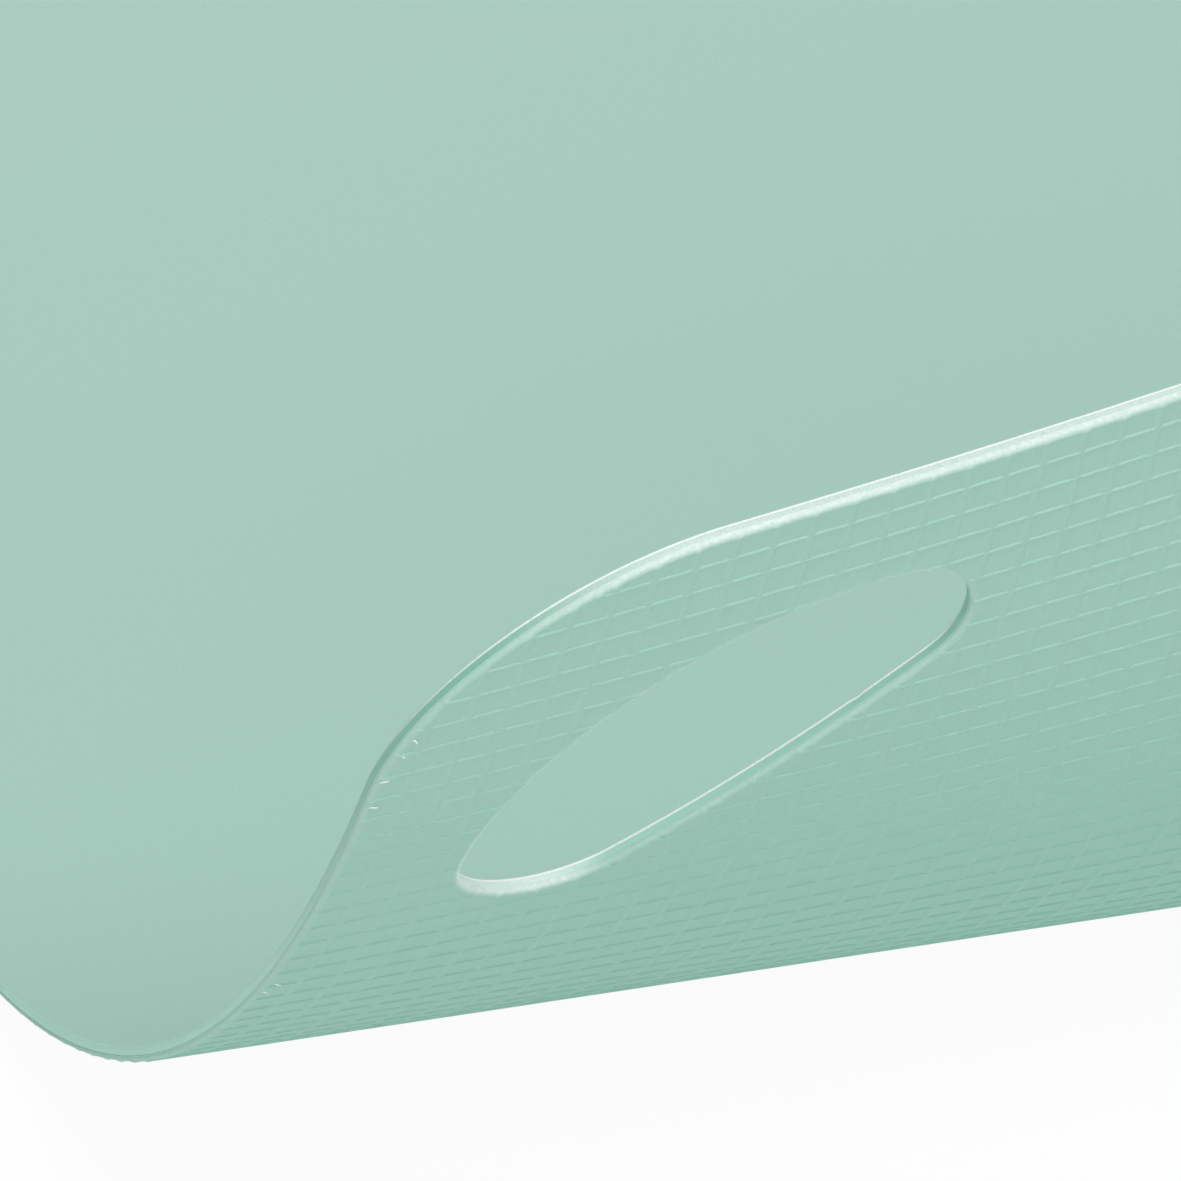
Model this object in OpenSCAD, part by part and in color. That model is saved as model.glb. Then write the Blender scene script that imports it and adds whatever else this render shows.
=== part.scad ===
// Flexible cutting mat with its hand-hole corner curled up.
// Two sheets of plastic are bonded face to face: a smooth cutting layer over a grip layer.
// The mat is drawn flat first. Then it is bent without stretching, about fold lines that fan
// out from one point beyond its right-hand edge, so every fold line stays a straight line.
// On the flat mat x runs from the left edge and y from the edge that is curled up.

/* [Mat] */
// Width of the flat mat, along the edge that is curled up
mat_w = 280; // [250:1:300]
// Length of the flat mat, along the edge beside the hand hole
mat_l = 400; // [370:1:440]
// Radius of the four corners
corner_r = 39; // [20:1:50]

/* [Layers] */
// Thickness of the smooth cutting layer
cutting_t = 1.1; // [0.8:0.1:2]
// Thickness of the grip layer under it
grip_t = 0.9; // [0.6:0.1:1.6]

/* [Hand hole] */
// Width of the strip left between the rounded corner and the hole
hole_web = 28.2; // [22:0.1:34]
// Depth of the hole, from its bowed side to its straight side
hole_depth = 34.4; // [28:0.1:38]
// Radius of the bowed side
hole_bow_r = 44.2; // [36:0.1:48]
// Radius of the two ends
hole_end_r = 12.1; // [8:0.1:14]
// How far the hole is punched off the corner's diagonal, towards the left-hand edge
hole_offset = 1.4; // [0:0.1:4]

/* [Bend] */
// Distance from the right-hand edge out to the point where the fold lines meet
fan_out = 44.5; // [35:0.5:80]
// Distance of that point from the curled edge, measured along the mat
fan_along = 160.5; // [150:0.5:175]
// Angle of the first fold line, beyond which the lifted flap is flat
fold_first = -61; // [-64:1:-56]
// Angle of the fold line where the bend is tightest
fold_tight = 8; // [4:1:11]
// Angle of the last fold line, beyond which the mat lies flat
fold_last = 16; // [13:1:26]
// How fast the mat turns at the tightest fold line, in degrees for each degree of the fan
fold_rate = 2.75; // [2.2:0.05:3]
// How the bend tightens on the way there: 1 is evenly, more is later
fold_growth = 1.75; // [1:0.05:2.5]

/* [Fineness] */
// Degrees of the fan between one fold line and the next
fold_step = 1; // [0.5:0.25:3]
// Fold lines laid across the hand hole
hole_lines = 32; // [16:2:64]
// Points along each rounded corner
corner_points = 16; // [8:1:32]

/* [Hidden] */
cutting_colour = "#A6CBBF";
grip_colour = "#9CC4B6";
fan = [mat_w + fan_out, fan_along];
end_points = 10;
bow_points = 40;

// Points along an arc about a centre, from one angle to another
function arc(centre, r, from, to, n) =
    [for (i = [0 : n]) let (a = from + (to - from) * i / n) centre + r * [cos(a), sin(a)]];

// The rounded rectangle, from the corner with the hand hole down the left edge and on round
outline = concat(
    arc([corner_r, corner_r], corner_r, 270, 180, corner_points),
    arc([corner_r, mat_l - corner_r], corner_r, 180, 90, corner_points),
    arc([mat_w - corner_r, mat_l - corner_r], corner_r, 90, 0, corner_points),
    arc([mat_w - corner_r, corner_r], corner_r, 0, -90, corner_points));

// The hand hole lies across the corner's diagonal. Its own axes run along the straight side
// and square to it, away from the corner, with the mat's sharp corner at the origin.
hole_near = corner_r * (sqrt(2) - 1) + hole_web;
hole_side = hole_near + hole_depth;
bow_centre = hole_near + hole_bow_r;
end_depth = hole_side - hole_end_r;
end_along = sqrt(pow(hole_bow_r - hole_end_r, 2) - pow(bow_centre - end_depth, 2));
end_angle = atan2(end_depth - bow_centre, end_along);
hole_drawn = concat(
    arc([0, bow_centre], hole_bow_r, -180 - end_angle, end_angle, bow_points),
    arc([end_along, end_depth], hole_end_r, end_angle, 90, end_points),
    arc([-end_along, end_depth], hole_end_r, 90, 180 - end_angle, end_points));
hole = [for (p = hole_drawn) let (x = p.x - hole_offset) [x + p.y, p.y - x] / sqrt(2)];

// A point's place in the fan: the angle of its fold line, and where a fold line crosses a shape
function fan_angle(p) = atan2(p.y - fan.y, fan.x - p.x);
function side_of(dir, p) = dir.x * p.y - dir.y * p.x;
function crossings(angle, shape) =
    [for (i = [0 : len(shape) - 1])
        let (dir = [-cos(angle), sin(angle)],
             p = shape[i] - fan,
             q = shape[(i + 1) % len(shape)] - fan,
             side_p = side_of(dir, p),
             side_q = side_of(dir, q))
        if ((side_p <= 0) != (side_q <= 0))
            (p + (q - p) * side_p / (side_p - side_q)) * dir];

hole_angles = [for (p = hole) fan_angle(p)];
hole_top = min(hole_angles);
hole_end = max(hole_angles);

// Fold lines evenly over the fan, but closer together across the hole, closest at its ends
plain_count = ceil((fold_last - hole_end) / fold_step);
top_count = ceil((hole_top - fold_first) / fold_step);
folds = concat(
    [for (i = [0 : plain_count - 1]) fold_last + (hole_end - fold_last) * i / plain_count],
    [for (i = [0 : hole_lines])
        (hole_top + hole_end) / 2 + (hole_end - hole_top) / 2 * cos(180 * i / hole_lines)],
    [for (i = [1 : top_count]) hole_top + (fold_first - hole_top) * i / top_count]);
last = len(folds) - 1;
first_open = plain_count + 1;
last_open = plain_count + hole_lines - 1;
function is_open(i) = i >= first_open && i <= last_open;

// Along each fold line: the right-hand edge, the near and far side of the hole, the far edge.
// Away from the hole its two sides meet, at the share of the fold line where its end lies.
function share_of(tip) =
    let (edge = crossings(fan_angle(tip), outline))
    (norm(tip - fan) - min(edge)) / (max(edge) - min(edge));
end_share = share_of(hole[search(hole_end, hole_angles)[0]]);
top_share = share_of(hole[search(hole_top, hole_angles)[0]]);
function stops(i) =
    let (edge = crossings(folds[i], outline),
         gap = crossings(folds[i], hole),
         share = i < first_open ? end_share : top_share,
         shut = min(edge) + share * (max(edge) - min(edge)))
    [min(edge), is_open(i) ? min(gap) : shut, is_open(i) ? max(gap) : shut, max(edge)];
reach = [for (i = [0 : last]) stops(i)];

// How fast the mat turns at a fold line
function ease(t) = t * t * (3 - 2 * t);
function turn_rate(a) =
    a >= fold_last || a <= fold_first ? 0
    : a < fold_tight ? fold_rate * pow((a - fold_first) / (fold_tight - fold_first), fold_growth)
    : fold_rate * ease((fold_last - a) / (fold_last - fold_tight));

// Three directions at a fold line: towards the fan's centre, across the fold, up from the mat.
// From one fold line to the next the three turn together about one axis.
function spin(v, axis, angle) =
    v * cos(angle) + cross(axis, v) * sin(angle) + axis * (axis * v) * (1 - cos(angle));
function next_pose(pose, from, to) =
    let (rate = turn_rate((from + to) / 2),
         axis = rate * pose[0] - pose[2],
         angle = (to - from) * norm(axis))
    [for (v = pose) spin(v, axis / norm(axis), angle)];
flat_pose = [[cos(fold_last), -sin(fold_last), 0], [sin(fold_last), cos(fold_last), 0], [0, 0, 1]];
poses = [for (i = 0, pose = flat_pose; i <= last;
              pose = i < last ? next_pose(pose, folds[i], folds[i + 1]) : pose, i = i + 1) pose];

// Bent place of a point: on its fold line's pose, so far from the fan's centre, so far up
function bent(pose, along, up) = [fan.x, fan.y, grip_t] - along * pose[0] + up * pose[2];
function flat_part(angle, pose, p, up) =
    let (turn = fan_angle(p) - angle,
         dir = pose[0] * cos(turn) - pose[1] * sin(turn))
    [fan.x, fan.y, grip_t] - norm(p - fan) * dir + up * pose[2];

lying = [for (p = outline) if (fan_angle(p) > fold_last) p];
lifted = [for (p = outline) if (fan_angle(p) < fold_first) p];

function face_points(up) = concat(
    [for (i = [0 : last]) for (k = [0 : 3]) bent(poses[i], reach[i][k], up)],
    [for (p = lying) flat_part(fold_last, poses[0], p, up)],
    [for (p = lifted) flat_part(fold_first, poses[last], p, up)]);

// Number of the point at stop k of fold line i; the two sides of the hole meet where it is shut
function at(i, k) = 4 * i + (k == 2 && !is_open(i) ? 1 : k);
lying_start = 4 * (last + 1);
lifted_start = lying_start + len(lying);
face_size = lifted_start + len(lifted);
lying_ids = [for (i = [0 : len(lying) - 1]) lying_start + i];
lifted_ids = [for (i = [0 : len(lifted) - 1]) lifted_start + i];

// The faces of one side of a layer, seen from above
function strip(i, k) =
    [[at(i + 1, k), at(i + 1, k + 1), at(i, k + 1)], [at(i + 1, k), at(i, k + 1), at(i, k)]];
function has_area(f) = f[0] != f[1] && f[1] != f[2] && f[0] != f[2];
side_faces = concat(
    [for (i = [0 : last - 1]) for (k = [0, 2]) for (f = strip(i, k)) if (has_area(f)) f],
    [concat([at(0, 3)], lying_ids, [at(0, 0), at(0, 1)])],
    [concat([at(last, 0)], lifted_ids, [at(last, 3), at(last, 1)])]);

// The edges that need a wall: round the mat, and round the hole the other way
rim = concat(
    [at(0, 3)], lying_ids, [for (i = [0 : last]) at(i, 0)],
    lifted_ids, [for (i = [last : -1 : 1]) at(i, 3)]);
rim_edges = [for (i = [0 : len(rim) - 1]) [rim[i], rim[(i + 1) % len(rim)]]];
hole_edges = concat(
    [for (i = [first_open - 1 : last_open]) [at(i, 2), at(i + 1, 2)]],
    [for (i = [first_open - 1 : last_open]) [at(i + 1, 1), at(i, 1)]]);

module layer(low, high) {
    points = concat(face_points(high), face_points(low));
    under = face_size;
    faces = concat(
        side_faces,
        [for (f = side_faces) [for (i = [len(f) - 1 : -1 : 0]) f[i] + under]],
        [for (e = concat(rim_edges, hole_edges)) [e[1], e[0], e[0] + under, e[1] + under]]);
    polyhedron(points, faces);
}

// The finished mat stands with the middle of its outline's box over the origin
body_points = concat(face_points(cutting_t), face_points(-grip_t));
middle = [for (axis = [0, 1])
    (min([for (p = body_points) p[axis]]) + max([for (p = body_points) p[axis]])) / 2];

module cutting_layer() {
    color(cutting_colour)
        translate([-middle.x, -middle.y, 0])
            layer(0, cutting_t);
}

module grip_layer() {
    color(grip_colour)
        translate([-middle.x, -middle.y, 0])
            layer(-grip_t, 0);
}

cutting_layer();
grip_layer();
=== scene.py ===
import math

import bpy
import numpy as np
from mathutils import Matrix, Vector
from mathutils.geometry import delaunay_2d_cdt


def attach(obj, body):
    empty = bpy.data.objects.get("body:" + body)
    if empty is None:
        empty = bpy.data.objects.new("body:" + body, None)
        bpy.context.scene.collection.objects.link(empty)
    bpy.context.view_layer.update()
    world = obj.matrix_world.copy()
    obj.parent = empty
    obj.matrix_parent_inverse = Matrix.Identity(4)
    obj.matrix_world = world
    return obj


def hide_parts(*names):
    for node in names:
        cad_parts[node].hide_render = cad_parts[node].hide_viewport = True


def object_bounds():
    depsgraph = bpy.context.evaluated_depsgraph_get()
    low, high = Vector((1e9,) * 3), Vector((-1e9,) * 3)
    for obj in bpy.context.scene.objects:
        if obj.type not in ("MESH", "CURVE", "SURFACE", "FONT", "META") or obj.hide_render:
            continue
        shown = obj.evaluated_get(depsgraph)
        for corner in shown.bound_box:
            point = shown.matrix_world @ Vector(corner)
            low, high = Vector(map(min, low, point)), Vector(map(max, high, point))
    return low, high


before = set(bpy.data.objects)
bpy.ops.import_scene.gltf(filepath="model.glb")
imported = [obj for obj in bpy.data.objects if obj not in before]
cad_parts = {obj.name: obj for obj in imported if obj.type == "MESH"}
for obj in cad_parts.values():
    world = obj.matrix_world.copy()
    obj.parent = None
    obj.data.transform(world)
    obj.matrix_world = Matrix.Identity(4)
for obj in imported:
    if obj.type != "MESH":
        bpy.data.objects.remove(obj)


# ---------------------------------------------------------------------------
# The cutting layer: the smooth upper sheet, polypropylene rolled between
# polished cylinders and bonded to the grip layer, then die-cut with it, so
# its rim is sheared and finely serrated on top, and painted white as a
# painted highlight on the side that faces the light.
# ---------------------------------------------------------------------------

CAD_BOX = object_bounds()
MM = 0.001
SAME_PLACE = 1e-6  # points nearer than this, in millimetres, are one point

# The flat mat, in millimetres: x from its left edge, y from the edge that is curled up
MAT_WIDTH, MAT_LENGTH, CORNER_RADIUS = 280.0, 400.0, 39.0
CUTTING_THICKNESS, GRIP_THICKNESS = 1.1, 0.9
HOLE_WEB, HOLE_DEPTH, HOLE_OFFSET = 28.2, 34.4, 1.4
HOLE_BOW_RADIUS, HOLE_END_RADIUS = 44.2, 12.1

# The bend: fold lines that fan out from one point beyond the right-hand edge, in degrees
FAN = np.array([MAT_WIDTH + 44.5, 160.5])
FOLD_FIRST, FOLD_TIGHT, FOLD_LAST = -61.0, 8.0, 16.0
FOLD_RATE, FOLD_GROWTH = 2.75, 1.75
FOLD_STEP = 0.25


def turn_rate(angle):
    """Degrees that the mat turns for each degree of the fan."""
    if angle >= FOLD_LAST or angle <= FOLD_FIRST:
        return 0.0
    if angle < FOLD_TIGHT:
        return FOLD_RATE * ((angle - FOLD_FIRST) / (FOLD_TIGHT - FOLD_FIRST)) ** FOLD_GROWTH
    t = (FOLD_LAST - angle) / (FOLD_LAST - FOLD_TIGHT)
    return FOLD_RATE * t * t * (3 - 2 * t)


def fold_poses():
    """For each fold line, the directions towards the fan's centre, across the fold and up."""
    angles = np.arange(FOLD_LAST, FOLD_FIRST - FOLD_STEP / 2, -FOLD_STEP)
    cos, sin = math.cos(math.radians(FOLD_LAST)), math.sin(math.radians(FOLD_LAST))
    pose = np.array([[cos, -sin, 0.0], [sin, cos, 0.0], [0.0, 0.0, 1.0]])
    poses = [pose]
    for start, end in zip(angles[:-1], angles[1:]):
        axis = turn_rate((start + end) / 2) * pose[0] - pose[2]
        turn = Matrix.Rotation(math.radians(end - start) * np.linalg.norm(axis), 3, Vector(axis))
        pose = pose @ np.array(turn).T
        poses.append(pose)
    return angles[::-1], np.array(poses)[::-1]


FOLD_ANGLES, FOLD_POSES = fold_poses()


def directions(flat):
    """Where the flat mat's x, y and up point at these places once it is bent."""
    out = flat - FAN
    angle = np.degrees(np.arctan2(out[:, 1], -out[:, 0]))
    pose = np.empty((len(flat), 3, 3))
    for i in range(3):
        for j in range(3):
            pose[:, i, j] = np.interp(angle, FOLD_ANGLES, FOLD_POSES[:, i, j])
    pose /= np.linalg.norm(pose, axis=2, keepdims=True)
    # A fold line's own directions are turned back to the mat's x and y
    fold = np.radians(np.clip(angle, FOLD_FIRST, FOLD_LAST))[:, None]
    along_x = pose[:, 0] * np.cos(fold) + pose[:, 1] * np.sin(fold)
    along_y = pose[:, 1] * np.cos(fold) - pose[:, 0] * np.sin(fold)
    return along_x, along_y, pose[:, 2]


def bent(flat, up):
    """Places on the flat mat, in millimetres, to places on the bent one, before centring."""
    along_x, along_y, upwards = directions(flat)
    out = flat - FAN
    return (np.array([*FAN, GRIP_THICKNESS]) + out[:, :1] * along_x + out[:, 1:] * along_y
            + np.reshape(up, (-1, 1)) * upwards)


def arc_line(arcs, spacing):
    """A closed line through arcs (centre, radius, from, to), joined by straight stretches:
    its points and the directions square to it, away from what it encloses."""
    points, away = [], []
    for centre, radius, start, end in arcs:
        count = max(2, math.ceil(math.radians(abs(end - start)) * radius / spacing))
        angles = np.radians(np.linspace(start, end, count + 1))
        normals = np.column_stack([np.cos(angles), np.sin(angles)])
        if points:
            count = math.ceil(math.dist(points[-1], centre + radius * normals[0]) / spacing)
            for i in range(1, count):
                points.append(corner + (centre + radius * normals[0] - corner) * i / count)
                away.append(normals[0])
        points += list(centre + radius * normals)
        away += list(normals)
        corner = points[-1]
    count = math.ceil(math.dist(points[-1], points[0]) / spacing)
    for i in range(1, count):
        points.append(corner + (points[0] - corner) * i / count)
        away.append(away[0])
    points, away = np.array(points), np.array(away)
    apart = np.hypot(*(points - np.roll(points, 1, axis=0)).T) > SAME_PLACE
    return points[apart], away[apart]


def mat_edge(spacing):
    """The rounded rectangle that the die cuts, and the directions into the plastic."""
    r = CORNER_RADIUS
    low_x, high_x, low_y, high_y = r, MAT_WIDTH - r, r, MAT_LENGTH - r
    line, away = arc_line([(np.array([low_x, low_y]), r, 270, 180),
                           (np.array([low_x, high_y]), r, 180, 90),
                           (np.array([high_x, high_y]), r, 90, 0),
                           (np.array([high_x, low_y]), r, 0, -90)], spacing)
    return line, -away


def hole_edge(spacing):
    """The D-shaped hand hole across the corner's diagonal, bowed towards the corner."""
    near = CORNER_RADIUS * (math.sqrt(2) - 1) + HOLE_WEB
    bow_y = near + HOLE_BOW_RADIUS
    end_y = near + HOLE_DEPTH - HOLE_END_RADIUS
    end_x = math.sqrt((HOLE_BOW_RADIUS - HOLE_END_RADIUS) ** 2 - (bow_y - end_y) ** 2)
    turn = math.degrees(math.atan2(end_y - bow_y, end_x))
    line, away = arc_line([(np.array([0, bow_y]), HOLE_BOW_RADIUS, -180 - turn, turn),
                           (np.array([end_x, end_y]), HOLE_END_RADIUS, turn, 90),
                           (np.array([-end_x, end_y]), HOLE_END_RADIUS, 90, 180 - turn)], spacing)
    line = line - [HOLE_OFFSET, 0]
    to_mat = np.array([[1, -1], [1, 1]]) / math.sqrt(2)
    return line @ to_mat, away @ to_mat


MIDDLE_STATION = 0.5


def middle():
    """What the bent mat moves by, so that its box is centred where the solids' box is."""
    edge = mat_edge(MIDDLE_STATION)[0]
    box = np.vstack([bent(edge, up) for up in (CUTTING_THICKNESS, -GRIP_THICKNESS)])
    shift = (box.min(0) + box.max(0)) / 2 - np.array((CAD_BOX[0] + CAD_BOX[1]) / 2) / MM
    return np.array([*shift[:2], 0.0])


MIDDLE = middle()


def inside(places, lines):
    """Which places lie within the first closed line and outside the others."""
    found = np.zeros(len(places), bool)
    for line in lines:
        for (ax, ay), (bx, by) in zip(line, np.roll(line, -1, axis=0)):
            if ay != by:
                across = (ay > places[:, 1]) != (by > places[:, 1])
                found ^= across & (places[:, 0] < (bx - ax) * (places[:, 1] - ay) / (by - ay) + ax)
    return found


def joined_lines(lines):
    """The points of closed lines one after another, and their edges by number."""
    edges, start = [], 0
    for line in lines:
        ids = np.arange(start, start + len(line))
        edges += list(zip(ids.tolist(), np.roll(ids, -1).tolist()))
        start += len(line)
    return np.vstack(lines), edges


RIM_STEP, CLEAR_OF_RIM = 3, 0.4  # every third point will do; the rest is a share of the spacing


def distance(places, rim):
    """How far these places lie from the nearest of the rim's points."""
    apart = np.full(len(places), math.inf)
    for point in rim[::RIM_STEP]:
        apart = np.minimum(apart, np.hypot(*(places - point).T))
    return apart


def filled(lines, spacing):
    """Triangles that fill a sheet up to its lines, over points set at a spacing."""
    rim, edges = joined_lines(lines)
    low, high = rim.min(0), rim.max(0)
    xs, ys = np.meshgrid(np.arange(low[0] + spacing / 2, high[0], spacing),
                         np.arange(low[1] + spacing / 2, high[1], spacing))
    grid = np.column_stack([xs.ravel(), ys.ravel()])
    grid = grid[inside(grid, lines)]
    grid = grid[distance(grid, rim) > spacing * CLEAR_OF_RIM]
    places = np.vstack([rim, grid])
    made = delaunay_2d_cdt([Vector(p) for p in places], edges, [], 1, SAME_PLACE)
    flat = np.array(made[0])
    tris = np.array(made[2])
    return flat, tris[inside(flat[tris].mean(1), lines)]


WELD = 0.002  # points of neighbouring parts nearer than this are joined


class Sheet:
    """The flat mesh of one layer, gathered face by face, then bent and put in place."""

    def __init__(self):
        self.points, self.faces, self.paints, self.marks, self.count = [], [], [], [], 0

    def add(self, flat, up, faces, paint, mark=None):
        """Adds points with their faces; mark is a value from 0 to 1 for each point."""
        up = np.broadcast_to(up, len(flat))
        mark = np.zeros(len(flat)) if mark is None else mark
        self.points.append(np.column_stack([flat, up]))
        self.marks.append(mark)
        self.faces += [[int(i) + self.count for i in face] for face in faces]
        self.paints += [paint] * len(faces)
        self.count += len(flat)

    def finish(self, name, materials, sharp_degrees):
        """Merges the seams, bends the sheet and keeps its flat shading normals, turned with it."""
        mesh = bpy.data.meshes.new(name)
        points, marks = np.vstack(self.points), np.concatenate(self.marks)
        mesh.from_pydata(points.tolist(), [], self.faces)
        for material in materials:
            mesh.materials.append(material)
        mesh.polygons.foreach_set("material_index", self.paints)
        # The cut value carries the rims' painted highlight and painted glow, and the torn flakes'
        # whitening
        mesh.attributes.new("cut", "FLOAT", "POINT").data.foreach_set("value", marks)
        piece = bpy.data.objects.new(name, mesh)
        bpy.context.scene.collection.objects.link(piece)
        weld = piece.modifiers.new("weld", "WELD")
        weld.merge_threshold = WELD
        solid = bpy.data.meshes.new_from_object(
            piece.evaluated_get(bpy.context.evaluated_depsgraph_get()))
        piece.modifiers.clear()
        piece.data = solid
        bpy.data.meshes.remove(mesh)
        solid.name = name
        solid.polygons.foreach_set("use_smooth", [True] * len(solid.polygons))
        solid.set_sharp_from_angle(angle=math.radians(sharp_degrees))

        flat = np.empty(len(solid.vertices) * 3)
        solid.vertices.foreach_get("co", flat)
        flat = flat.reshape(-1, 3)
        normals = np.empty(len(solid.loops) * 3)
        solid.corner_normals.foreach_get("vector", normals)
        normals = normals.reshape(-1, 3)
        corner = np.empty(len(solid.loops), int)
        solid.loops.foreach_get("vertex_index", corner)

        chart = solid.uv_layers.new(name="flat_mat")
        chart.uv.foreach_set("vector", (flat[corner, :2] * MM).ravel())
        along_x, along_y, upwards = directions(flat[:, :2])
        turned = (normals[:, :1] * along_x[corner] + normals[:, 1:2] * along_y[corner]
                  + normals[:, 2:] * upwards[corner])
        place = (bent(flat[:, :2], flat[:, 2]) - MIDDLE) * MM
        solid.vertices.foreach_set("co", place.ravel())
        solid.update()
        solid.normals_split_custom_set(turned.tolist())
        return piece


def strips(rows, closed_count):
    """Faces between rows of points that run round a closed line, facing away from it."""
    faces = []
    for row in range(rows - 1):
        for i in range(closed_count):
            j = (i + 1) % closed_count
            a, b = row * closed_count, (row + 1) * closed_count
            faces.append([b + i, b + j, a + j, a + i])
    return faces


def turned_over(faces):
    return [list(reversed([int(i) for i in face])) for face in faces]


# The rim is painted white on the side that faces the light, towards the curled edge and at the
# hole's left-hand end, as a painted highlight; elsewhere it keeps its own colour. On the arris on
# top the painted highlight reaches further round than on the wall.
HIGHLIGHT_INTO = (-0.5, 0.86)
WALL_HIGHLIGHT_SPAN, ARRIS_HIGHLIGHT_SPAN = (0.15, 0.85), (-0.6, 0.5)


def highlight_share(into, span):
    """How much painted highlight the rim gets, from 0 to 1, for directions into the plastic."""
    share = np.clip((into @ HIGHLIGHT_INTO - span[0]) / (span[1] - span[0]), 0, 1)
    return share * share * (3 - 2 * share)


def linear(hex_colour):
    """An sRGB colour such as #A6CBBF as linear RGBA."""
    parts = [int(hex_colour[i:i + 2], 16) / 255 for i in (1, 3, 5)]
    return [p / 12.92 if p <= 0.04045 else ((p + 0.055) / 1.055) ** 2.4 for p in parts] + [1.0]


def node(tree, kind, inputs=(), **settings):
    """Adds a node with its settings, and its inputs as values or as links from sockets."""
    made = tree.nodes.new(kind)
    for name, value in settings.items():
        setattr(made, name, value)
    for name, value in dict(inputs).items():
        if isinstance(value, bpy.types.NodeSocket):
            tree.links.new(value, made.inputs[name])
        else:
            made.inputs[name].default_value = value
    return made


# The refraction of polypropylene, its grain, and how far that varies the colour and the
# near-white of the painted rim highlight and the torn flakes
REFRACTION = 1.49
GRAIN_DETAIL, GRAIN_ROUGHNESS, GRAIN_BUMP = 2.0, 0.6, 0.5
SPECKLE, PATCHINESS = 0.025, 0.2


def polypropylene(name, near, far, painted_shading_span, roughness, grain, relief, highlight_and_flake_white=None):
    """Satin polypropylene with a fine grain. Its colour shifts from near to far with the distance
    from
    the curled edge: painted shading that stands in for how the light falls over the sheet. Where
    the mesh's cut value is high the colour turns near-white: a painted highlight and painted glow
    on the rims, and the whitened plastic of the torn flakes. Lengths are in millimetres."""
    material = bpy.data.materials.new(name)
    material.use_nodes = True
    tree = material.node_tree
    tree.nodes.clear()
    where = node(tree, "ShaderNodeTexCoord").outputs["Object"]
    chart = node(tree, "ShaderNodeUVMap", uv_map="flat_mat").outputs["UV"]
    # Painted shading: the colour shifts from near to far with the distance from the curled edge
    along = node(tree, "ShaderNodeSeparateXYZ", {0: chart}).outputs["Y"]
    away = node(tree, "ShaderNodeMapRange", {"Value": along, "From Min": painted_shading_span[0] * MM,
                                             "From Max": painted_shading_span[1] * MM})
    clear = node(tree, "ShaderNodeMix", {"Factor": away.outputs["Result"], "A": linear(near),
                                         "B": linear(far)}, data_type="RGBA")
    noise = node(tree, "ShaderNodeTexNoise", {"Vector": where, "Scale": 1 / (grain * MM),
                                              "Detail": GRAIN_DETAIL,
                                              "Roughness": GRAIN_ROUGHNESS}).outputs["Fac"]
    speck = node(tree, "ShaderNodeMapRange", {"Value": noise, "From Min": 0.25, "From Max": 0.75,
                                              "To Min": 1 - SPECKLE, "To Max": 1 + SPECKLE})
    colour = node(tree, "ShaderNodeVectorMath", {0: clear.outputs["Result"],
                                                 "Scale": speck.outputs["Result"]},
                  operation="SCALE").outputs["Vector"]
    if highlight_and_flake_white:
        # The cut value mixes in the near-white: painted highlight and painted glow on the rims,
        # whitened plastic on the torn flakes
        cut = node(tree, "ShaderNodeAttribute", attribute_name="cut").outputs["Fac"]
        patch = node(tree, "ShaderNodeMapRange",
                     {"Value": noise, "From Min": 0.3, "From Max": 0.7,
                      "To Min": 1 - PATCHINESS, "To Max": 1 + PATCHINESS})
        share = node(tree, "ShaderNodeMath", {0: cut, 1: patch.outputs["Result"]},
                     operation="MULTIPLY", use_clamp=True)
        colour = node(tree, "ShaderNodeMix", {"Factor": share.outputs["Value"], "A": colour,
                                              "B": linear(highlight_and_flake_white)},
                      data_type="RGBA").outputs["Result"]
    bump = node(tree, "ShaderNodeBump", {"Height": noise, "Strength": GRAIN_BUMP,
                                         "Distance": relief * MM})
    shader = node(tree, "ShaderNodeBsdfPrincipled",
                  {"Base Color": colour, "Roughness": roughness, "IOR": REFRACTION,
                   "Normal": bump.outputs["Normal"]})
    node(tree, "ShaderNodeOutputMaterial", {"Surface": shader.outputs["BSDF"]})
    return material


# A satin face off the polished cylinder, and the glassy deep green of a clean cut; both are
# painted lighter away from the curled edge as painted light, and the cut's white is a painted
# highlight
polished_polypropylene = polypropylene("polished_polypropylene", "#9EC8BB", "#ABCFC4", (150, 380),
                                       0.5, 0.5, 0.02)
die_cut_polypropylene = polypropylene("die_cut_polypropylene", "#7EB8A3", "#A8DBCB", (30, 90),
                                      0.5, 0.3, 0.08, "#F6FBF9")

# The rim of the upper layer, from the bond up: how far in from the die's line, how high, how
# deep the serration is, and the parts that the wall's and the arris's painted highlight have in it
CUTTING_RIM = [(0.05, 0.00, 0.0, 0.9, 0.0), (0.00, 0.08, 0.0, 0.5, 0.0),
               (0.00, 0.45, 0.1, 0.5, 0.0), (0.00, 0.70, 0.3, 0.5, 0.0),
               (0.00, 0.82, 0.9, 0.1, 0.9), (0.03, 1.00, 1.0, 0.0, 1.0),
               (0.12, 1.10, 0.8, 0.0, 0.6)]
TOOTH_PITCH, TOOTH_DEPTH = 0.48, 0.08
NICK_PLACE, NICK_WIDTH, NICK_DEPTH = (64.0, 47.4), 0.7, 0.35
TOP_SPACING, BOND_SPACING = 4.0, 8.0


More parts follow.
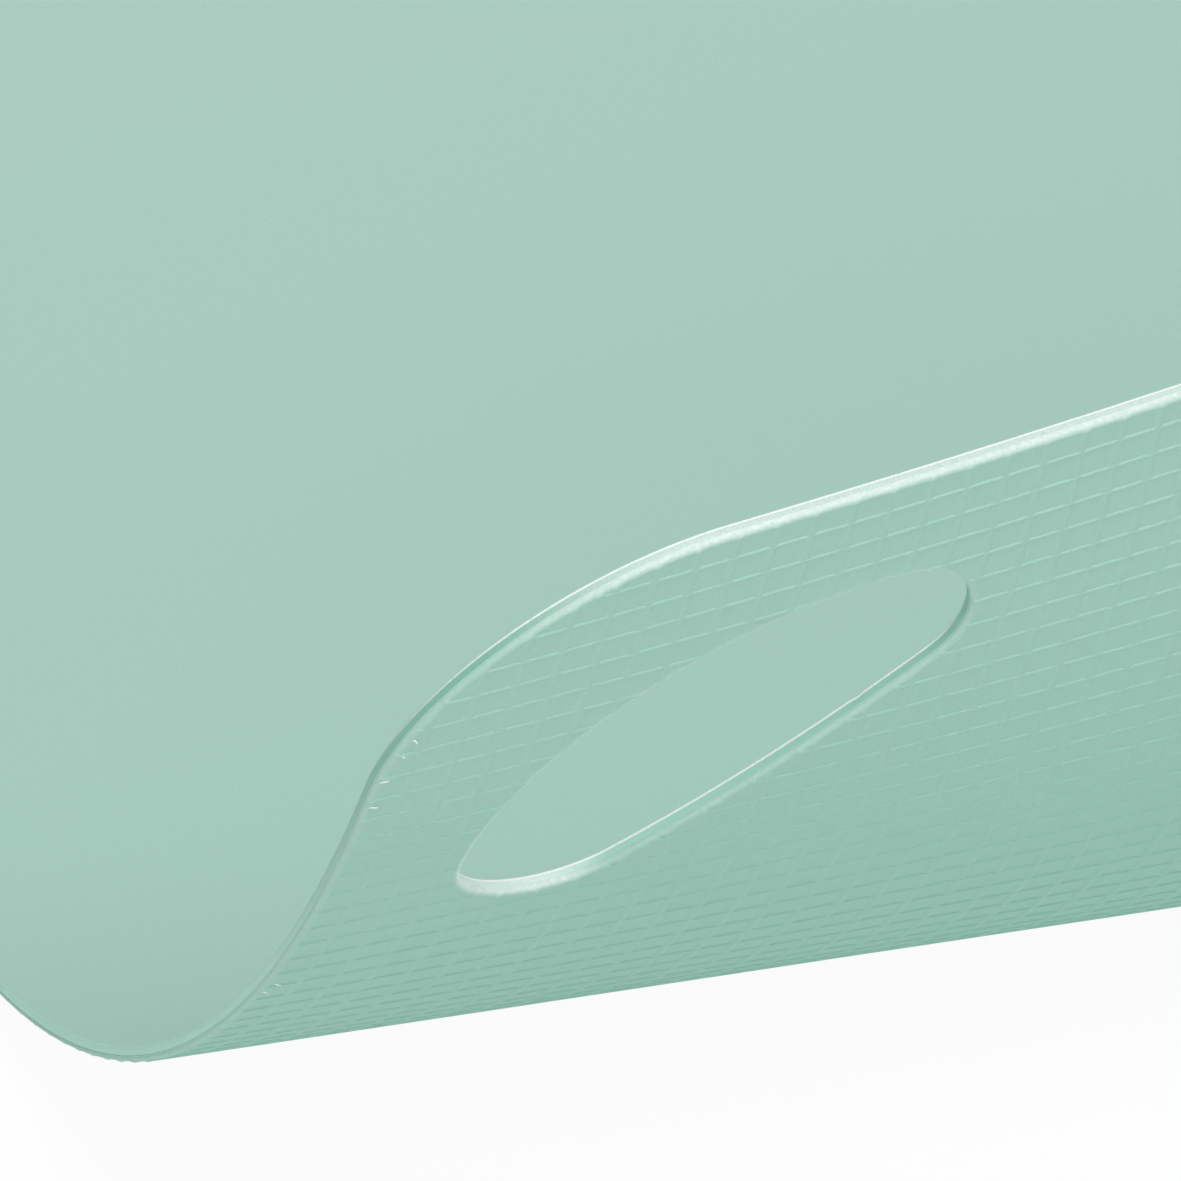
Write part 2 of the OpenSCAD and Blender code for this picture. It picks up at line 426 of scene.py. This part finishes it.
def cutting_sheet():
    sheet = Sheet()
    shake = np.random.RandomState(4)
    top_lines, bond_lines = [], []
    for line, into in (mat_edge(TOOTH_PITCH / 2), hole_edge(TOOTH_PITCH / 2)):
        teeth = TOOTH_DEPTH * (np.arange(len(line)) % 2) * shake.uniform(0.5, 1, len(line))
        apart = np.hypot(*(line - NICK_PLACE).T)
        teeth += NICK_DEPTH * np.exp(-(apart / NICK_WIDTH) ** 2)
        # The painted highlight on the wall and on the arris, most on the side that faces the light
        wall, arris = highlight_share(into, WALL_HIGHLIGHT_SPAN), highlight_share(into, ARRIS_HIGHLIGHT_SPAN)
        rows, ups, marks = [], [], []
        for depth, height, toothed, wall_part, arris_part in CUTTING_RIM:
            rows.append(line + into * (depth + toothed * teeth)[:, None])
            ups.append(np.full(len(line), height))
            marks.append(wall * wall_part + arris * arris_part)
        sheet.add(np.vstack(rows), np.concatenate(ups), strips(len(rows), len(line)), 1,
                  np.concatenate(marks))
        top_lines.append(rows[-1])
        bond_lines.append(rows[0])
    flat, tris = filled(top_lines, TOP_SPACING)
    sheet.add(flat, CUTTING_THICKNESS, tris, 0)
    flat, tris = filled(bond_lines, BOND_SPACING)
    sheet.add(flat, 0.0, turned_over(tris), 0)
    return sheet.finish("cutting_sheet", [polished_polypropylene, die_cut_polypropylene], 35)


cutting_piece = cutting_sheet()
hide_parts("cutting_layer")
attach(cutting_piece, "root")


# ---------------------------------------------------------------------------
# The grip layer: the lower sheet, softer polypropylene pressed against an
# engraved roller, which raises a square waffle of thin ribs that keeps the
# mat from sliding. Ribs and sheet are one moulding.
# ---------------------------------------------------------------------------

RIB_PITCH, RIB_CREST, RIB_HEIGHT = 5.0, 0.3, 0.18
COLUMN_FOOT, ROW_FOOT = 1.5, 0.7
FIRST_RIB = (4.5, 4.75)
ROUND_WIDTH = 1.0  # the underside's arris is rounded this far in
PANEL_UP = -(GRIP_THICKNESS - RIB_HEIGHT)
CREST_UP = -GRIP_THICKNESS


def waffle_tree(material):
    """Geometry Nodes: one cell of the waffle, set on a grid of points and made one sheet."""
    tree = bpy.data.node_groups.new("waffle", "GeometryNodeTree")
    sockets = {}
    for name, kind in (("Pitch", "Float"), ("Column foot", "Float"), ("Row foot", "Float"),
                       ("Rib crest", "Float"), ("Panel height", "Float"),
                       ("Crest height", "Float"), ("First rib", "Vector"), ("Columns", "Int"),
                       ("Rows", "Int")):
        made = tree.interface.new_socket(name=name, in_out="INPUT",
                                         socket_type="NodeSocket" + kind)
        sockets[name] = made.identifier
    tree.interface.new_socket(name="Geometry", in_out="OUTPUT",
                              socket_type="NodeSocketGeometry")
    given = node(tree, "NodeGroupInput").outputs
    values = {name: given[name] for name in sockets}

    # A cell has five lines each way, at first 1 apart: a rib's foot, the two sides of its
    # crest, its other foot, and the next rib's foot. Counted from the cell's middle, -1 and 0
    # are on the crest.
    cell = node(tree, "GeometryNodeMeshGrid",
                {"Size X": 4.0, "Size Y": 4.0, "Vertices X": 5, "Vertices Y": 5})
    place = node(tree, "GeometryNodeInputPosition").outputs["Position"]
    spot = node(tree, "ShaderNodeSeparateXYZ", {0: place}).outputs
    values["X"], values["Y"] = spot["X"], spot["Y"]
    sums = [("crest start", "MULTIPLY", "Rib crest", -0.5),
            ("crest end", "MULTIPLY", "Rib crest", 0.5)]
    for rib, axis, count in (("Column", "X", "Columns"), ("Row", "Y", "Rows")):
        sums += [(rib + " start", "MULTIPLY", rib + " foot", -0.5),
                 (rib + " end", "MULTIPLY", rib + " foot", 0.5),
                 (rib + " next", "ADD", "Pitch", rib + " start"),
                 (rib + " line", "ADD", axis, 2.5),
                 (rib + " raised", "COMPARE", axis, -0.5, 0.9),
                 (rib + " gaps", "SUBTRACT", count, 1.0),
                 (rib + " reach", "MULTIPLY", rib + " gaps", "Pitch"),
                 (rib + " middle", "MULTIPLY", rib + " reach", 0.5)]
    sums.append(("raised", "MAXIMUM", "Column raised", "Row raised"))
    for result, operation, *terms in sums:
        terms = {i: values.get(term, term) for i, term in enumerate(terms)}
        values[result] = node(tree, "ShaderNodeMath", terms, operation=operation).outputs["Value"]

    placed = []
    for rib in ("Column", "Row"):
        switch = node(tree, "GeometryNodeIndexSwitch", data_type="FLOAT")
        lines = [rib + " start", "crest start", "crest end", rib + " end", rib + " next"]
        while len(switch.index_switch_items) < len(lines):
            switch.index_switch_items.new()
        tree.links.new(values[rib + " line"], switch.inputs["Index"])
        for i, line in enumerate(lines):
            tree.links.new(values[line], switch.inputs[i + 1])
        placed.append(switch.outputs["Output"])
    height = node(tree, "ShaderNodeMix", {"Factor": values["raised"], "A": values["Panel height"],
                                          "B": values["Crest height"]}, data_type="FLOAT")
    there = node(tree, "ShaderNodeCombineXYZ", {"X": placed[0], "Y": placed[1],
                                                "Z": height.outputs["Result"]})
    cell = node(tree, "GeometryNodeSetPosition", {"Geometry": cell.outputs["Mesh"],
                                                  "Position": there.outputs["Vector"]})

    grid = node(tree, "GeometryNodeMeshGrid", {"Size X": values["Column reach"],
                                               "Size Y": values["Row reach"],
                                               "Vertices X": values["Columns"],
                                               "Vertices Y": values["Rows"]})
    half = node(tree, "ShaderNodeCombineXYZ", {"X": values["Column middle"],
                                               "Y": values["Row middle"]})
    start = node(tree, "ShaderNodeVectorMath", {0: half.outputs["Vector"],
                                                1: values["First rib"]}, operation="ADD")
    points = node(tree, "GeometryNodeSetPosition", {"Geometry": grid.outputs["Mesh"],
                                                    "Offset": start.outputs["Vector"]})
    cells = node(tree, "GeometryNodeInstanceOnPoints", {"Points": points.outputs["Geometry"],
                                                        "Instance": cell.outputs["Geometry"]})
    real = node(tree, "GeometryNodeRealizeInstances", {"Geometry": cells.outputs["Instances"]})
    whole = node(tree, "GeometryNodeMergeByDistance", {"Geometry": real.outputs["Geometry"],
                                                       "Distance": 0.01})
    dressed = node(tree, "GeometryNodeSetMaterial", {"Geometry": whole.outputs["Geometry"],
                                                     "Material": material})
    node(tree, "NodeGroupOutput", {"Geometry": dressed.outputs["Geometry"]})
    return tree, sockets


def waffle(material):
    """The engraved roller's print, wider than the mat: points in millimetres, and faces."""
    tree, sockets = waffle_tree(material)
    carrier = bpy.data.objects.new("waffle", bpy.data.meshes.new("waffle"))
    bpy.context.scene.collection.objects.link(carrier)
    modifier = carrier.modifiers.new("waffle", "NODES")
    modifier.node_group = tree
    sizes = {"Pitch": RIB_PITCH, "Column foot": COLUMN_FOOT, "Row foot": ROW_FOOT,
             "Rib crest": RIB_CREST, "Panel height": PANEL_UP, "Crest height": CREST_UP,
             "First rib": (FIRST_RIB[0] - RIB_PITCH, FIRST_RIB[1] - RIB_PITCH, 0.0),
             "Columns": math.ceil(MAT_WIDTH / RIB_PITCH) + 2,
             "Rows": math.ceil(MAT_LENGTH / RIB_PITCH) + 2}
    for name, value in sizes.items():
        modifier[sockets[name]] = value
    carrier.update_tag()
    graph = bpy.context.evaluated_depsgraph_get()
    mesh = bpy.data.meshes.new_from_object(carrier.evaluated_get(graph))
    carrier.modifiers.clear()
    points = np.empty(len(mesh.vertices) * 3)
    mesh.vertices.foreach_get("co", points)
    faces = np.empty(len(mesh.loops), int)
    mesh.loops.foreach_get("vertex_index", faces)
    bpy.data.objects.remove(carrier)
    bpy.data.meshes.remove(mesh)
    bpy.data.node_groups.remove(tree)
    return points.reshape(-1, 3), faces.reshape(-1, 4)


def rib_up(flat):
    """How high the waffle stands at these places."""
    rib = np.zeros(len(flat))
    for axis, foot in enumerate((COLUMN_FOOT, ROW_FOOT)):
        off = (flat[:, axis] - FIRST_RIB[axis] + RIB_PITCH / 2) % RIB_PITCH - RIB_PITCH / 2
        share = (foot / 2 - np.abs(off)) / (foot / 2 - RIB_CREST / 2)
        rib = np.maximum(rib, np.clip(share, 0, 1))
    return PANEL_UP + (CREST_UP - PANEL_UP) * rib


CUT_ZONE = 1.5 * RIB_PITCH  # only the waffle this near to a line is cut anew


def trimmed(points, faces, lines):
    """The waffle cut off at the lines. Faces well inside stay, and those near a line are cut."""
    flat = points[:, :2]
    rim, edges = joined_lines(lines)
    within = inside(flat, lines)
    near = (distance(flat, rim)[faces] < CUT_ZONE).any(1)
    whole = faces[~near & within[faces].all(1)]
    crossed = faces[near]
    used = np.unique(crossed)
    number = np.full(len(flat), -1)
    number[used] = np.arange(len(used)) + len(rim)
    made = delaunay_2d_cdt([Vector(p) for p in np.vstack([rim, flat[used]])], edges,
                           number[crossed].tolist(), 0, SAME_PLACE)
    cut = np.array(made[0])
    tris = np.array([f for f, origin in zip(made[2], made[5]) if origin])
    tris = tris[inside(cut[tris].mean(1), lines)]
    on_line = sorted({v for e, origin in zip(made[1], made[4])
                      if any(o < len(edges) for o in origin) for v in e})
    kept, tris = np.unique(tris, return_inverse=True)
    return whole, cut[kept], tris.reshape(-1, 3), cut[on_line]


ON_LINE = 0.01  # cut points nearer to a line than this lie on it


def stations(line, into, places):
    """Puts the cut places in order round a line, with the direction into the plastic at each."""
    step = np.roll(line, -1, axis=0) - line
    size = (step ** 2).sum(1)
    found = []
    for place in places:
        share = np.clip(((place - line) * step).sum(1) / size, 0, 1)
        off = np.hypot(*(line + step * share[:, None] - place).T)
        i = int(np.argmin(off))
        if off[i] < ON_LINE:
            found.append((i + share[i], i, share[i], *place))
    found.sort()
    kept = [f for i, f in enumerate(found) if i == 0 or f[0] - found[i - 1][0] > SAME_PLACE]
    i = np.array([f[1] for f in kept])
    share = np.array([f[2] for f in kept])[:, None]
    normal = into[i] * (1 - share) + np.roll(into, -1, axis=0)[i] * share
    return np.array([f[3:] for f in kept]), normal / np.hypot(*normal.T)[:, None]


# The roller's satin print, painted deeper in colour away from the curled edge as painted shade.
# Its rim is painted a little paler than the panels as painted glow, even where it has no painted
# highlight
embossed_polypropylene = polypropylene("embossed_polypropylene", "#9BC6B8", "#8BC0AF", (30, 150),
                                       0.55, 0.6, 0.03, "#F0F7F4")

# The rim of the lower layer, from the rounded underside to the bond: how far in from the die's
# line, how high, how much of a rib is left there, and the parts that the painted glow and the
# painted highlight have in it
GRIP_RIM = [(0.70, -0.78, 0.7, 0.2, 0.05), (0.40, -0.71, 0.5, 0.6, 0.2),
            (0.15, -0.56, 0.3, 1.0, 0.4), (0.03, -0.42, 0.1, 1.0, 0.5),
            (0.00, -0.28, 0.0, 0.7, 0.55), (0.00, -0.12, 0.0, 0.7, 0.55),
            (-0.05, -0.06, 0.0, 0.7, 0.85), (0.03, 0.00, 0.0, 0.7, 0.85)]
# Painted glow: the rim is painted paler, most where it faces down, standing in for light that
# runs inside the sheet and leaves it there
LEAST_PALE, MOST_PALE, FACING_DOWN = 0.1, 0.6, (-0.6, -0.8)
GRIP_STATION = 1.2

# Flakes that the die tore up beside the left-hand edge: from the curled edge, and in from the
# left-hand one. Each is a curl that tapers to its tip.
FLAKES = [(96.2, 0.5), (94.2, 1.4), (41.0, 0.4), (35.5, 0.4), (30.2, 0.6), (25.8, 0.7)]
FLAKE_RINGS, FLAKE_WIDTH, FLAKE_HEIGHT, FLAKE_WHITE = 6, 0.4, 0.35, 0.9
FLAKE_LENGTHS, FLAKE_LEANS = (0.7, 1.1), (-1.2, 1.2)
FLAKE_SUNK, FLAKE_TAPER = 0.15, 0.9  # how deep the foot starts, and the share lost to the tip
FLAKE_RUN, FLAKE_RISE = 2.0, 2.4  # radians that the curl turns through along and up


def flake(sheet, foot, into, length, lean):
    """One torn flake, from a foot sunk in the rounded arris."""
    across = np.array([-into[1], into[0]])
    flat, up = [], []
    for t in np.linspace(0, 1, FLAKE_RINGS):
        spine = foot + length * (into * math.sin(FLAKE_RUN * t) + across * lean * t)
        height = PANEL_UP + FLAKE_SUNK - FLAKE_HEIGHT * math.sin(FLAKE_RISE * t)
        half = FLAKE_WIDTH * (1 - FLAKE_TAPER * t) / 2
        flat += [spine - across * half, spine + across * half, spine]
        up += [height, height, height - half]
    last = 3 * FLAKE_RINGS
    ends = [[0, 1, 2], [last - 1, last - 2, last - 3]]
    sheet.add(np.array(flat), up, strips(FLAKE_RINGS, 3) + ends, 0,
              np.full(len(flat), FLAKE_WHITE))


def grip_sheet():
    sheet = Sheet()
    points, faces = waffle(embossed_polypropylene)
    borders = []
    for line, into in (mat_edge(GRIP_STATION), hole_edge(GRIP_STATION)):
        borders.append((line + into * ROUND_WIDTH, into))
    whole, cut, tris, rim = trimmed(points, faces, [b[0] for b in borders])
    used, again = np.unique(whole, return_inverse=True)
    sheet.add(points[used, :2], points[used, 2], turned_over(again.reshape(-1, 4)), 0)
    sheet.add(cut, rib_up(cut), turned_over(tris), 0)
    bond_lines = []
    for border, into in borders:
        inner, normal = stations(border, into, rim)
        rows, ups, marks = [inner], [rib_up(inner)], [np.zeros(len(inner))]
        # Painted highlight on the side that faces the light, and painted glow where the rim faces
        # down
        painted_highlight = highlight_share(normal, WALL_HIGHLIGHT_SPAN)
        painted_glow = LEAST_PALE + (MOST_PALE - LEAST_PALE) * np.clip(normal @ FACING_DOWN, 0, 1)
        for depth, height, left, glow_part, highlight_part in GRIP_RIM:
            rows.append(inner - normal * (ROUND_WIDTH - depth))
            ups.append(height + (ups[0] - PANEL_UP) * left)
            marks.append(painted_glow * glow_part + painted_highlight * highlight_part)
        sheet.add(np.vstack(rows), np.concatenate(ups), strips(len(rows), len(inner)), 0,
                  np.concatenate(marks))
        bond_lines.append(rows[-1])
    flat, tris = filled(bond_lines, BOND_SPACING)
    sheet.add(flat, 0.0, tris, 0)

    shake = np.random.RandomState(7)
    line, into = mat_edge(GRIP_STATION)
    for along, inwards in FLAKES:
        apart = np.where(line[:, 0] < CORNER_RADIUS, np.abs(line[:, 1] - along), math.inf)
        nearest = np.argmin(apart)
        flake(sheet, line[nearest] + into[nearest] * inwards, into[nearest],
              shake.uniform(*FLAKE_LENGTHS), shake.uniform(*FLAKE_LEANS))
    return sheet.finish("grip_sheet", [embossed_polypropylene], 12)


grip_piece = grip_sheet()
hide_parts("grip_layer")
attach(grip_piece, "root")


# ---------------------------------------------------------------------------
# The studio: a white sweep that stays white in the picture and keeps the
# mat's soft shadow, soft lamps above, in front and behind, and a long lens.
# ---------------------------------------------------------------------------

FLOOR_REACH = 40.0
WHITE_SHARE = 0.95  # how far the sweep and the sky are plain white where they are seen
SKY_LIGHT = 0.42
floor_mesh = bpy.data.meshes.new("floor")
floor_mesh.from_pydata([(x * FLOOR_REACH, y * FLOOR_REACH, 0)
                        for x, y in ((-1, -1), (1, -1), (1, 1), (-1, 1))], [], [(0, 1, 2, 3)])
floor = bpy.data.objects.new("floor", floor_mesh)
bpy.context.scene.collection.objects.link(floor)


def seen(tree):
    """1 for the rays that show a surface itself, and 0 for those that it lights others by."""
    path = node(tree, "ShaderNodeLightPath").outputs
    direct = node(tree, "ShaderNodeMath", {0: path["Is Camera Ray"], 1: path["Is Glossy Ray"]},
                  operation="MAXIMUM")
    return node(tree, "ShaderNodeMath", {0: direct.outputs["Value"],
                                         1: path["Is Transmission Ray"]},
                operation="MAXIMUM").outputs["Value"]


white_sweep = bpy.data.materials.new("white_sweep")
white_sweep.use_nodes = True
tree = white_sweep.node_tree
tree.nodes.clear()
paper = node(tree, "ShaderNodeBsdfDiffuse", {"Color": linear("#F4F4F4")})
glow = node(tree, "ShaderNodeEmission", {"Color": linear("#FFFFFF"), "Strength": 1.0})
share = node(tree, "ShaderNodeMath", {0: seen(tree), 1: WHITE_SHARE}, operation="MULTIPLY")
sweep = node(tree, "ShaderNodeMixShader", {0: share.outputs["Value"], 1: paper.outputs["BSDF"],
                                           2: glow.outputs["Emission"]})
node(tree, "ShaderNodeOutputMaterial", {"Surface": sweep.outputs["Shader"]})
floor_mesh.materials.append(white_sweep)

world = bpy.data.worlds.new("studio")
bpy.context.scene.world = world
world.use_nodes = True
tree = world.node_tree
tree.nodes.clear()
strength = node(tree, "ShaderNodeMix", {"Factor": seen(tree), "A": SKY_LIGHT, "B": 1.0},
                data_type="FLOAT")
sky = node(tree, "ShaderNodeBackground", {"Color": linear("#FFFFFF"),
                                          "Strength": strength.outputs["Result"]})
node(tree, "ShaderNodeOutputWorld", {"Surface": sky.outputs["Background"]})


def lamp(name, place, aim, size, watts):
    data = bpy.data.lights.new(name, "AREA")
    data.shape, data.size, data.energy = "DISK", size, watts
    made = bpy.data.objects.new(name, data)
    bpy.context.scene.collection.objects.link(made)
    made.location = place
    made.rotation_euler = (Vector(aim) - Vector(place)).to_track_quat("-Z", "Y").to_euler()


# The lamps stand even-handed to the rows of ribs, so the rows catch the light and the columns
# hardly do. The back lamp lifts the far part of the cutting face.
LIT = (-0.05, -0.1, 0.1)
lamp("key_lamp", (-0.02, -1.15, 2.0), LIT, 0.9, 25.0)
lamp("left_lamp", (-1.8, -2.3, 0.35), LIT, 1.4, 16.0)
lamp("right_lamp", (1.8, -2.3, 0.35), LIT, 1.4, 8.0)
lamp("back_lamp", (0.1, 1.6, 1.8), LIT, 1.2, 6.0)

# The photograph's view, fitted to the ribs, the silhouette and the rim: the point that the lens
# looks at, the heading from +Y towards +X, the angle down, the roll, and the distance
PHOTO_SIDE = 1181
LENS_LENGTH = 55740.0  # in the photograph's pixels
AIM = Vector((-0.10302, -0.13357, 0.12013))
HEADING, DOWN, ROLL, DISTANCE = 20.679, 35.996, 1.121, 6.437
camera_data = bpy.data.cameras.new("camera")
camera_data.sensor_width = 36.0
camera_data.lens = LENS_LENGTH / PHOTO_SIDE * camera_data.sensor_width
camera_data.clip_start, camera_data.clip_end = 0.1, 100.0
camera = bpy.data.objects.new("camera", camera_data)
bpy.context.scene.collection.objects.link(camera)
heading, down = math.radians(HEADING), math.radians(DOWN)
look = Vector((math.sin(heading) * math.cos(down), math.cos(heading) * math.cos(down),
               -math.sin(down)))
camera.location = AIM - look * DISTANCE
upright = look.to_track_quat("-Z", "Y").to_matrix().to_4x4()
camera.rotation_euler = (upright @ Matrix.Rotation(math.radians(ROLL), 4, "Z")).to_euler()
bpy.context.scene.camera = camera
bpy.context.scene.view_settings.view_transform = "Standard"
